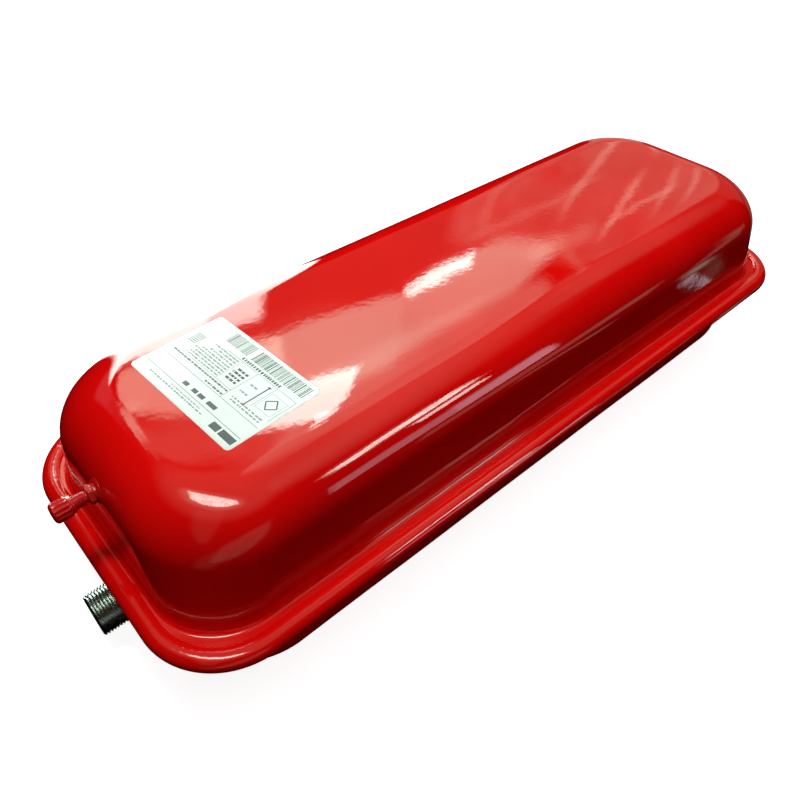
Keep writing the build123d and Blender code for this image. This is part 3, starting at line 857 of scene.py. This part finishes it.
def label_print():
    rng = np.random.RandomState(31)
    dark, grey = Print(), Print()
    # heading: plain solid bars
    dark.block(3.4, 7.6, 2.4, 13.4)
    dark.block(3.4, 7.6, 14.6, 21.2)
    # ruled lines along the label
    for u, a, b, w in ((9.3, 2.2, 87.5, 0.28), (19.6, 2.2, 87.5, 0.28), (26.4, 34.0, 87.0, 0.22), (22.8, 52.0, 87.0, 0.18),
                       (44.4, 2.4, 62.0, 0.25), (47.0, 2.4, 48.0, 0.12)):
        (dark if w > 0.2 else grey).block(u, u + w, a, b)
    for v, a, b, w in ((2.4, 26.0, 44.4, 0.25), (17.6, 26.5, 44.4, 0.25), (34.0, 19.6, 44.4, 0.25), (48.0, 26.4, 44.4, 0.22),
                       (79.0, 26.4, 44.4, 0.2)):
        dark.block(a, b, v, v + w)
    # a row of larger bars
    for a, b in ((27.8, 35.2), (38.4, 43.4), (44.6, 48.8), (52.8, 57.0)):
        dark.block(11.6, 14.2, a, b)
    # fine print
    grey.words(rng, 5.0, 30.0, 78.0, 0.9, 1.0, 3.2, 0.8)
    grey.words(rng, 6.9, 34.0, 60.0, 0.7, 0.8, 2.4, 0.7)
    for u, a, b in ((20.9, 34.8, 50), (24.2, 34.8, 86), (27.6, 48.8, 78), (29.6, 48.8, 77), (31.6, 48.8, 76), (33.6, 49.0, 78),
                    (35.7, 49.0, 74), (38.0, 49.5, 70), (40.2, 49.5, 66), (42.2, 49.5, 72)):
        (dark if u in (20.9, 24.2) else grey).words(rng, u, a, b, 1.05, 0.8, 3.4, 0.7)
    for u in (30.4, 33.0, 35.8, 38.6):
        dark.words(rng, u, 36.4, 46.0, 1.5, 1.0, 3.0, 0.7)
    for u in (29.5, 36.0):
        grey.words(rng, u, 25.0, 31.0, 1.2, 1.2, 2.8, 0.7)
    for u in (22.0, 24.0):
        grey.words(rng, u, 5.0, 30.0, 1.0, 1.0, 3.0, 0.8)
    # plain square frame with a diamond
    for a, b, c, d in ((28.4, 40.6, 4.2, 4.45), (28.4, 40.6, 16.2, 16.45), (28.4, 28.65, 4.2, 16.45), (40.4, 40.65, 4.2, 16.45)):
        grey.block(a, b, c, d)
    for p, q in (((30.2, 10.3), (34.5, 6.0)), ((34.5, 6.0), (38.8, 10.3)), ((38.8, 10.3), (34.5, 14.6)), ((34.5, 14.6), (30.2, 10.3))):
        dark.slant(*p, *q, 0.75)
    # scale bar
    dark.block(24.6, 42.0, 20.6, 21.5)
    dark.block(24.2, 25.2, 20.0, 22.1)
    dark.block(41.4, 42.4, 20.0, 22.1)
    # digits row, as bars
    dark.words(rng, 45.4, 18.0, 51.0, 1.9, 1.0, 1.4, 0.8)
    # strip of parallel bars, in two groups
    v = 3.8
    while v < 70.0:
        if 46.0 < v < 51.0:
            v = 51.0
        w = float(rng.choice([0.28, 0.28, 0.56, 0.84]))
        dark.block(48.6, 57.4, v, v + w)
        v += w + float(rng.choice([0.30, 0.55, 0.80]))
    # small square of evenly spaced dots
    for i in range(6):
        for j in range(5):
            dark.block(34.4 + 1.4 * i, 35.3 + 1.4 * i, 79.9 + 1.35 * j, 80.75 + 1.35 * j)
    out = []
    for pr, mat, name in ((dark, INK, "label_print_dark"), (grey, INK_GREY, "label_print_grey")):
        ob = build(name, np.array(pr.v), pr.f, mat, "vessel", sharp=30, merge=False)
        out.append(ob)
    return out


# ================================================================ make everything
shell_top = gas_shell()
shell_low = water_shell()
rubber_part = diaphragm()
water_nipple = nipple()
weld_ring("nipple_weld_bead", water_wall_x, NIPPLE_Z, 11.97, 15.2, 2.9, 34, 3, "nipple_weld")
weld_ring("bush_weld_bead", gas_wall_x, VALVE_Z, 5.38, 7.0, 1.15, 22, 9, "bush_weld", 176)
bush()
valve_body()
cap()
spring()
label()
label_print()

for node, mat in (("valve_gasket", OVERSPRAYED), ("cap_seal", SEAL), ("core_washer", SEAL), ("core_plug", BRASS),
                  ("core_barrel", BRASS), ("core_pin", BRASS), ("core_cup", BRASS),
                  ("core_barrel_seal", CORE_SEAL)):
    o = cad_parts[node]
    if not o.material_slots:
        o.data.materials.append(mat)
    for s in o.material_slots:
        s.material = mat

# ================================================================ stage, light, camera
scene = bpy.context.scene


def floor():
    me = bpy.data.meshes.new("floor")
    bm = bmesh.new()
    bmesh.ops.create_grid(bm, x_segments=24, y_segments=24, size=6.0)
    bm.to_mesh(me)
    bm.free()
    ob = bpy.data.objects.new("floor", me)
    scene.collection.objects.link(ob)
    ob.location = (0, 0, -0.0002)
    m, nt, b, co = new_material("pale_floor")
    nt.links.new(ramp(nt, noise(nt, co, 3, 3), [(0.3, (0.90, 0.90, 0.90)), (0.7, (0.93, 0.93, 0.93))]),
                 b.inputs["Base Color"])
    b.inputs["Roughness"].default_value = 0.9
    b.inputs["Specular IOR Level"].default_value = 0.0
    b.inputs["Emission Color"].default_value = (1, 1, 1, 1)
    b.inputs["Emission Strength"].default_value = 0.85
    me.materials.append(m)
    ob.visible_glossy = False
    ob.visible_diffuse = False
    return ob


floor()


class Sky:
    """World light for mirror reflections, written as soft-edged patches over direction (azimuth,
    elevation in degrees) or over the ceiling plane (x and y per unit of height)."""

    TINTS = {"warm": (0.86, 1.0, 0.78, 1), "soft": (0.50, 1.0, 0.80, 1), "white": (0.82, 1.0, 0.92, 1), "cold": (1.0, 0.92, 1.08, 1)}

    def __init__(self):
        w = bpy.data.worlds.new("studio")
        scene.world = w
        w.use_nodes = True
        self.nt = w.node_tree
        self.nt.nodes.clear()
        co = self.nt.nodes.new("ShaderNodeTexCoord")
        sep = self.nt.nodes.new("ShaderNodeSeparateXYZ")
        self.nt.links.new(co.outputs["Generated"], sep.inputs[0])
        self.x, self.y, self.z = sep.outputs
        self.az = self.math("MULTIPLY", self.math("ARCTAN2", self.y, self.x), 180 / math.pi)
        self.el = self.math("MULTIPLY", self.math("ARCSINE", self.z), 180 / math.pi)
        up = self.math("MAXIMUM", self.z, 0.05)
        self.cx, self.cy = self.math("DIVIDE", self.x, up), self.math("DIVIDE", self.y, up)
        n = self.nt.nodes.new("ShaderNodeTexNoise")
        n.inputs["Scale"].default_value = 20.0
        n.inputs["Detail"].default_value = 3.0
        self.nt.links.new(co.outputs["Generated"], n.inputs["Vector"])
        self.mottle = self.math("MULTIPLY_ADD", n.outputs["Fac"], 1.6, 0.2)
        self.totals = {}

    def math(self, op, a, b=None, c=None, clamp=False):
        n = self.nt.nodes.new("ShaderNodeMath")
        n.operation = op
        n.use_clamp = clamp
        for i, v in enumerate((a, b, c)):
            if v is None:
                continue
            if isinstance(v, (int, float)):
                n.inputs[i].default_value = v
            else:
                self.nt.links.new(v, n.inputs[i])
        return n.outputs[0]

    def step(self, v, lo, hi):
        n = self.nt.nodes.new("ShaderNodeMapRange")
        n.interpolation_type = "SMOOTHSTEP"
        n.inputs["From Min"].default_value = lo
        n.inputs["From Max"].default_value = hi
        n.inputs["To Min"].default_value = 0.0
        n.inputs["To Max"].default_value = 1.0
        self.nt.links.new(v, n.inputs["Value"])
        return n.outputs["Result"]

    def edge(self, u, v, p, q, soft):
        """1 on the left of the directed line from p to q."""
        dx, dy = q[0] - p[0], q[1] - p[1]
        d = math.hypot(dx, dy)
        a, b = -dy / d, dx / d
        w = self.math("MULTIPLY_ADD", u, a, -(a * p[0] + b * p[1]))
        w = self.math("MULTIPLY_ADD", v, b, w)
        return self.step(w, -soft / 2, soft / 2)

    def poly(self, pts, value, soft=2.0, tint="warm", ceiling=False, mottled=False):
        """A convex patch, its corners counter-clockwise; soft is one width or one for each side."""
        u, v = (self.cx, self.cy) if ceiling else (self.az, self.el)
        out = None
        for i, (p, q) in enumerate(zip(pts, pts[1:] + pts[:1])):
            e = self.edge(u, v, p, q, soft[i] if isinstance(soft, (list, tuple)) else soft)
            out = e if out is None else self.math("MULTIPLY", out, e)
        if mottled:
            out = self.math("MULTIPLY", out, self.mottle)
        self.add(self.math("MULTIPLY", out, value), tint)

    def rect(self, az0, az1, el0, el1, value, soft=2.0, tint="warm", mottled=False):
        self.poly([(az0, el0), (az1, el0), (az1, el1), (az0, el1)], value, soft, tint, False, mottled)

    def line(self, p, q, width, value, tint="warm"):
        dx, dy = q[0] - p[0], q[1] - p[1]
        d = math.hypot(dx, dy)
        nx, ny = -dy / d * width / 2, dx / d * width / 2
        self.poly([(p[0] - nx, p[1] - ny), (q[0] - nx, q[1] - ny), (q[0] + nx, q[1] + ny), (p[0] + nx, p[1] + ny)],
                  value, [width * 0.8, 2.5, width * 0.8, 2.5], tint)

    def glow(self, az, el, far, near, value, tint="warm"):
        """A round soft light about a direction, from nothing at far degrees to full at near degrees."""
        a, e = math.radians(az), math.radians(el)
        v = self.math("MULTIPLY", self.x, math.cos(e) * math.cos(a))
        v = self.math("MULTIPLY_ADD", self.y, math.cos(e) * math.sin(a), v)
        v = self.math("MULTIPLY_ADD", self.z, math.sin(e), v)
        self.add(self.math("MULTIPLY", self.step(v, math.cos(math.radians(far)), math.cos(math.radians(near))), value), tint)

    def add(self, v, tint="warm"):
        old = self.totals.get(tint)
        self.totals[tint] = v if old is None else self.math("ADD", old, v)

    def mix(self, fac, a, b):
        m = self.nt.nodes.new("ShaderNodeMixShader")
        for s, v in zip(m.inputs, (fac, a, b)):
            self.nt.links.new(v, s)
        return m.outputs[0]

    def flat(self, colour, strength):
        bg = self.nt.nodes.new("ShaderNodeBackground")
        bg.inputs["Color"].default_value = colour
        if isinstance(strength, (int, float)):
            bg.inputs["Strength"].default_value = strength
        else:
            self.nt.links.new(strength, bg.inputs["Strength"])
        return bg.outputs[0]

    def finish(self, above, below):
        """Mirror reflections see the patches, matt surfaces an even light, the camera plain white."""
        seen = None
        for tint, total in self.totals.items():
            s = self.flat(self.TINTS[tint], total)
            if seen is not None:
                both = self.nt.nodes.new("ShaderNodeAddShader")
                self.nt.links.new(seen, both.inputs[0])
                self.nt.links.new(s, both.inputs[1])
                s = both.outputs[0]
            seen = s
        up = self.step(self.z, -0.05, 0.05)
        even = self.flat((1, 1, 1, 1), self.math("MULTIPLY_ADD", up, above - below, below))
        lp = self.nt.nodes.new("ShaderNodeLightPath")
        last = self.mix(lp.outputs["Is Glossy Ray"], even, seen)
        last = self.mix(lp.outputs["Is Camera Ray"], last, self.flat((1, 1, 1, 1), 1.0))
        out = self.nt.nodes.new("ShaderNodeOutputWorld")
        self.nt.links.new(last, out.inputs["Surface"])


sky = Sky()
# large soft patch that lies across the top face
sky.poly([(33.5, 30.5), (39.5, 30.9), (47.5, 35.5), (47.5, 41.2), (42.0, 38.3), (36.0, 34.8)], 2.6,
         [2.0, 0.7, 0.5, 2.5, 2.5, 1.5], "soft")
sky.poly([(47.5, 35.5), (62.5, 38.7), (62.5, 43.5), (50.5, 42.8), (47.5, 41.2)], 3.1, [0.8, 2.0, 2.5, 2.5, 0.5], "soft")
sky.poly([(34.0, 33.8), (61.0, 44.0), (61.0, 68.0), (14.0, 68.0), (14.0, 51.5)], 1.3, [2.0, 3.0, 14.0, 6.0, 1.6], "soft")
# its bright streaks
sky.poly([(41.0, 31.7), (44.8, 33.4), (47.4, 35.2), (47.0, 35.8), (41.2, 33.0)], 12.0, 0.6, "white")
sky.poly([(51.8, 41.4), (58.5, 42.3), (66.0, 44.6), (66.0, 45.9), (55.0, 46.8), (53.2, 44.8)], 14.0, 0.8, "white")
sky.poly([(53.2, 46.2), (56.8, 46.2), (55.0, 50.6), (52.0, 50.6)], 12.0, 0.8, "white")
for az, el in ((51.5, 53.0), (48.5, 55.2)):
    sky.rect(az - 1.4, az + 1.4, el - 0.7, el + 0.7, 9.0, 0.6, "white")
sky.glow(55.0, 46.0, 11.0, 1.0, 0.9, "soft")
sky.rect(38.0, 66.0, 24.0, 44.0, 0.2, 5.0)
# even ceiling
sky.poly([(-185.0, 51.0), (185.0, 51.0), (185.0, 100.0), (-185.0, 100.0)], 0.5, [18.0, 0.1, 0.1, 0.1])
sky.rect(-60.0, 16.0, 42.0, 66.0, 0.25, 10.0)
# room beyond the right end, with thin bars of light
sky.poly([(20.0, 12.0), (43.5, 12.0), (43.5, 31.0), (26.0, 33.0), (20.0, 33.0)], 0.45, [4.0, 2.0, 2.0, 3.0, 5.0], mottled=True)
for p, q, w, value in (((29.9, 29.6), (28.2, 24.4), 0.5, 1.1), ((29.6, 28.7), (25.6, 24.9), 0.4, 1.0),
                       ((23.9, 22.4), (24.1, 25.8), 0.5, 0.7), ((41.8, 31.0), (34.4, 27.6), 0.5, 0.5),
                       ((34.6, 27.7), (31.4, 25.0), 0.4, 0.5), ((33.7, 28.2), (30.2, 20.4), 0.6, 0.8),
                       ((25.6, 23.2), (26.0, 27.0), 0.5, 0.6), ((23.0, 38.6), (33.0, 30.8), 0.9, 0.45),
                       ((36.0, 31.6), (31.0, 29.4), 1.2, 0.7), ((26.5, 14.0), (27.5, 22.0), 0.7, 0.7),
                       ((40.6, 30.0), (39.6, 20.0), 1.0, 0.35)):
    sky.line(p, q, w, value)
sky.rect(27.5, 37.8, -24.0, 13.0, 0.5, [2.0, 1.6, 6.0, 1.6])
sky.rect(-3.0, 18.0, -24.0, -1.0, 0.12, [2.5, 3.0, 5.0, 4.0])
sky.rect(-14.0, 30.0, 33.0, 46.0, 0.38, [9.0, 6.0, 8.0, 9.0])
sky.rect(-4.0, 26.0, 3.0, 30.0, 0.16, 5.0)
# two-paned window, and the dim panels under it
sky.rect(-64.8, -49.6, 26.8, 33.0, 13.0, [1.6, 3.0, 1.8, 3.0], "white", True)
sky.rect(-58.8, -51.4, 18.6, 23.2, 11.0, 1.0, "white")
sky.rect(-64.0, -50.5, 24.5, 36.0, 0.7, 2.0)
sky.rect(-69.0, -57.5, -3.2, 8.5, 1.9, [1.2, 0.6, 5.0, 1.2], "cold")
sky.rect(-57.5, -48.6, -3.2, 9.5, 3.1, [1.2, 1.0, 6.0, 0.6], "cold")
sky.rect(-61.0, -38.5, -13.5, -6.8, 0.5, 1.6)
sky.line((-50.0, -17.5), (-38.0, -24.0), 2.2, 0.55)
sky.line((-33.0, -3.0), (-32.0, -21.0), 1.6, 0.3)
sky.line((-31.0, -21.0), (-26.0, -27.0), 2.0, 0.8)
sky.rect(-34.0, -27.0, -6.0, 0.0, 0.22, 2.0)
sky.poly([(-26.4, -28.9), (-25.6, -28.5), (-25.2, -27.9), (-25.5, -27.5), (-26.1, -27.9)], 1.1, 0.35, "cold")
# bright window on the far side, with a broken edge above it
sky.rect(61.8, 67.0, -33.0, 36.6, 8.5, [4.0, 0.8, 1.0, 1.2], "white")
sky.rect(67.0, 83.4, -33.0, 37.4, 14.0, [4.0, 5.0, 1.0, 0.8], "white")
sky.rect(82.0, 104.0, 28.0, 42.0, 0.35, [6.0, 8.0, 6.0, 6.0], "cold")
sky.poly([(60.0, 38.4), (76.8, 38.4), (79.0, 41.8), (72.0, 43.6), (60.0, 43.0)], 3.6, 1.3)
sky.poly([(76.0, 41.6), (90.0, 43.2), (99.0, 45.6), (84.0, 45.6)], 2.8, 1.4)
sky.rect(66.0, 96.0, 43.5, 47.5, 0.7, 2.5)
# ceiling lamp, and the haze round it
sky.poly([(-0.11, -0.29), (-0.18, -0.09), (-0.26, 0.26), (-0.32, 0.30), (-0.45, 0.13), (-0.44, -0.08), (-0.38, -0.23),
          (-0.28, -0.35), (-0.14, -0.42)], 13.0, 0.05, "white", True, True)
sky.poly([(-0.04, -0.34), (-0.12, -0.08), (-0.22, 0.32), (-0.36, 0.40), (-0.56, 0.16), (-0.54, -0.08), (-0.46, -0.30),
          (-0.33, -0.44), (-0.12, -0.52)], 1.2, 0.14, "warm", True)
# dim panels seen in the near left corner
sky.poly([(-150.0, 18.0), (-143.0, 18.0), (-128.0, 60.0), (-172.0, 60.0)], 0.20, 9.0)
sky.poly([(-140.0, -14.0), (-118.0, -12.0), (-88.0, 6.0), (-84.0, 22.0), (-104.0, 24.0), (-130.0, 12.0)], 0.38, 9.0, mottled=True)
sky.poly([(-156.0, -24.0), (-140.0, -26.0), (-126.0, -8.0), (-132.0, 6.0), (-148.0, -4.0)], 0.12, 9.0, mottled=True)
sky.finish(0.12, 0.08)


def area(name, loc, target, size, power, glossy=True, size_y=None):
    li = bpy.data.lights.new(name, "AREA")
    li.shape = "RECTANGLE"
    li.size = size
    li.size_y = size_y or size
    li.energy = power
    ob = bpy.data.objects.new(name, li)
    scene.collection.objects.link(ob)
    ob.location = loc
    d = Vector(target) - Vector(loc)
    ob.rotation_euler = d.to_track_quat("-Z", "Y").to_euler()
    ob.visible_camera = False
    ob.visible_glossy = glossy
    return ob


# soft overhead lights for the matt layer, kept out of the mirror reflections
area("key", (0.36, -0.10, 2.0), (0.0, 0.0, 0.05), 2.6, 14.8, glossy=False)
area("lamp", (-0.15, 0.05, 1.5), (-0.12, 0.0, 0.08), 0.20, 9.3, glossy=False, size_y=0.32)
area("fill", (0.06, 0.14, 0.62), (0.05, 0.03, 0.14), 0.30, 0.45, glossy=False)

cam = bpy.data.cameras.new("camera")
cam.sensor_width = 36.0
cam.lens = 712.7340635342713 / 800.0 * 36.0
cam.shift_x = -(402.4299589210402 - 400.0) / 800.0
cam.shift_y = (395.7750194825074 - 400.0) / 800.0
cam.clip_start = 0.01
camo = bpy.data.objects.new("camera", cam)
scene.collection.objects.link(camo)
RX = (0.7465237438931951, -0.6651499629991, 0.016668129048666713)
RY = (-0.4500978666315046, -0.52329483946097, -0.7235844259291971)
RZ = (0.4900145000481673, 0.5326706653419292, -0.690034602050311)
rot = Matrix((Vector(RX), -Vector(RY), -Vector(RZ))).transposed().to_4x4()
camo.matrix_world = Matrix.Translation((-0.3030006693, -0.2659433459, 0.3957661147)) @ rot
scene.camera = camo

scene.view_settings.view_transform = "Standard"
scene.view_settings.look = "None"
scene.view_settings.exposure = 0.0
scene.view_settings.gamma = 1.0

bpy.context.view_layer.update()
